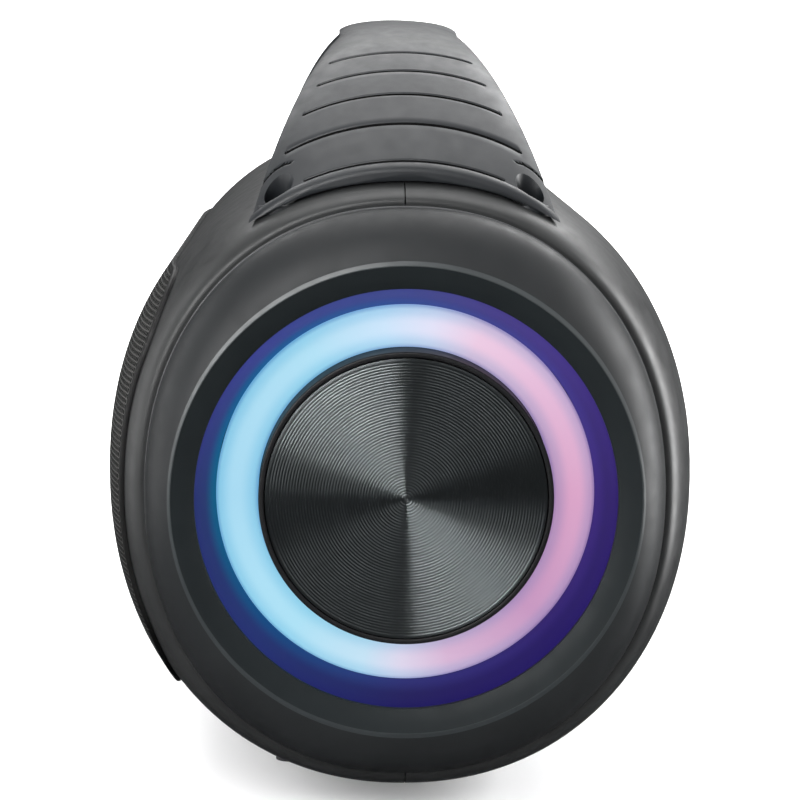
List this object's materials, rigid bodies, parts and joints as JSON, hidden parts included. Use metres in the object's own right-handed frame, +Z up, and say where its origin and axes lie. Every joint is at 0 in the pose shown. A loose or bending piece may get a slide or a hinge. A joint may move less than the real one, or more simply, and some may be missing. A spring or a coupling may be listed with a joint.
{
  "type": "portable party speaker",
  "caption": "Rounded barrel speaker with a light ring and passive radiator in each end, a curved front grille, top controls and a carrying handle.",
  "frame": {"origin": "centre of the bounding box's footprint, on the surface that the feet stand on", "axes": "+X along the barrel from left end to right end, -Y out of the front grille, +Z up"},
  "size_m": [0.44, 0.2072, 0.2685],
  "materials": {
    "shell": "satin moulded plastic, fine grain",
    "handle_plastic": "satin moulded plastic, fine grain",
    "handle_under": "matt moulded plastic",
    "rubber_black": "matt",
    "foot_rubber": "matt, ribbed sole",
    "cover_rubber": "matt moulded rubber",
    "button_rubber": "matt moulded rubber",
    "panel_rubber": "matt moulded rubber",
    "steel": "plain zinc-plated",
    "screw_black": "black oxide",
    "glow_plastic": "translucent indigo, lit from behind",
    "light_diffuser": "frosted white, lit from behind",
    "board_white": "white solder mask",
    "circuit_board": "green solder mask",
    "black_plastic": "satin",
    "spun_metal": "black anodised, fine spun rings",
    "grille_metal": "black powder coat, perforated",
    "board_wood": "raw fibreboard",
    "dark_metal": "ferrite grey",
    "cone_paper": "pressed paper look",
    "heat_sink_metal": "plain extruded",
    "cell_wrap": "shrink wrap"
  },
  "bodies": {
    "enclosure": {"front_shell": "shell", "rear_shell": "shell", "shell_gasket": "rubber_black", "shell_screws": "steel", "end_cap_left": "shell", "end_cap_right": "shell", "end_gasket_left": "rubber_black", "end_gasket_right": "rubber_black", "glow_ring_left": "glow_plastic", "glow_ring_right": "glow_plastic", "light_ring_left": "light_diffuser", "light_ring_right": "light_diffuser", "led_board_left": "board_white", "led_board_right": "board_white", "radiator_frame_left": "black_plastic", "radiator_frame_right": "black_plastic", "grille": "grille_metal", "baffle": "board_wood", "woofer_basket_left": "black_plastic", "woofer_basket_right": "black_plastic", "woofer_magnet_left": "dark_metal", "woofer_magnet_right": "dark_metal", "woofer_surround_left": "rubber_black", "woofer_surround_right": "rubber_black", "tweeter_left": "black_plastic", "tweeter_right": "black_plastic", "control_panel": "panel_rubber", "button_board": "circuit_board", "main_board": "circuit_board", "heat_sink": "heat_sink_metal", "battery_tray": "black_plastic", "battery_cells": "cell_wrap", "port_panel": "black_plastic", "port_cover_pin": "steel", "usb_socket": "steel", "charge_socket": "steel", "aux_socket": "black_plastic", "mic_socket": "black_plastic", "handle": "handle_plastic", "handle_core": "steel", "handle_cover": "handle_under", "handle_pads": "rubber_black", "handle_screws": "screw_black", "feet": "foot_rubber"},
    "radiator_left": {"radiator_disc_left": "spun_metal", "radiator_weight_left": "steel", "radiator_surround_left": "rubber_black"},
    "woofer_left": {"woofer_cone_left": "cone_paper"},
    "radiator_right": {"radiator_disc_right": "spun_metal", "radiator_weight_right": "steel", "radiator_surround_right": "rubber_black"},
    "woofer_right": {"woofer_cone_right": "cone_paper"},
    "button_power": {"button_power": "button_rubber"},
    "button_wireless": {"button_wireless": "button_rubber"},
    "button_volume_down": {"button_volume_down": "button_rubber"},
    "button_volume_up": {"button_volume_up": "button_rubber"},
    "button_play": {"button_play": "button_rubber"},
    "button_light": {"button_light": "button_rubber"},
    "port_cover": {"port_cover": "cover_rubber"}
  },
  "joints": [
    {"name": "radiator_left", "type": "slide", "parent": "enclosure", "child": "radiator_left", "axis": [-1, 0, 0], "range_m": [-0.004, 0.004], "stiffness_N_per_m": 2000},
    {"name": "woofer_left", "type": "slide", "parent": "enclosure", "child": "woofer_left", "axis": [0, -1, 0], "range_m": [-0.0025, 0.0025], "stiffness_N_per_m": 2500},
    {"name": "radiator_right", "type": "slide", "parent": "enclosure", "child": "radiator_right", "axis": [1, 0, 0], "range_m": [-0.004, 0.004], "stiffness_N_per_m": 2000},
    {"name": "woofer_right", "type": "slide", "parent": "enclosure", "child": "woofer_right", "axis": [0, -1, 0], "range_m": [-0.0025, 0.0025], "stiffness_N_per_m": 2500},
    {"name": "button_power", "type": "slide", "parent": "enclosure", "child": "button_power", "axis": [0, 0, -1], "range_m": [0, 0.001], "stiffness_N_per_m": 800},
    {"name": "button_wireless", "type": "slide", "parent": "enclosure", "child": "button_wireless", "axis": [0, 0, -1], "range_m": [0, 0.001], "stiffness_N_per_m": 800},
    {"name": "button_volume_down", "type": "slide", "parent": "enclosure", "child": "button_volume_down", "axis": [0, 0, -1], "range_m": [0, 0.001], "stiffness_N_per_m": 800},
    {"name": "button_volume_up", "type": "slide", "parent": "enclosure", "child": "button_volume_up", "axis": [0, 0, -1], "range_m": [0, 0.001], "stiffness_N_per_m": 800},
    {"name": "button_play", "type": "slide", "parent": "enclosure", "child": "button_play", "axis": [0, 0, -1], "range_m": [0, 0.001], "stiffness_N_per_m": 800},
    {"name": "button_light", "type": "slide", "parent": "enclosure", "child": "button_light", "axis": [0, 0, -1], "range_m": [0, 0.001], "stiffness_N_per_m": 800},
    {"name": "port_cover", "type": "hinge", "parent": "enclosure", "child": "port_cover", "pos_m": [0, 0.099, 0.0904], "axis": [-1, 0, 0], "range_deg": [0, 110]}
  ]
}
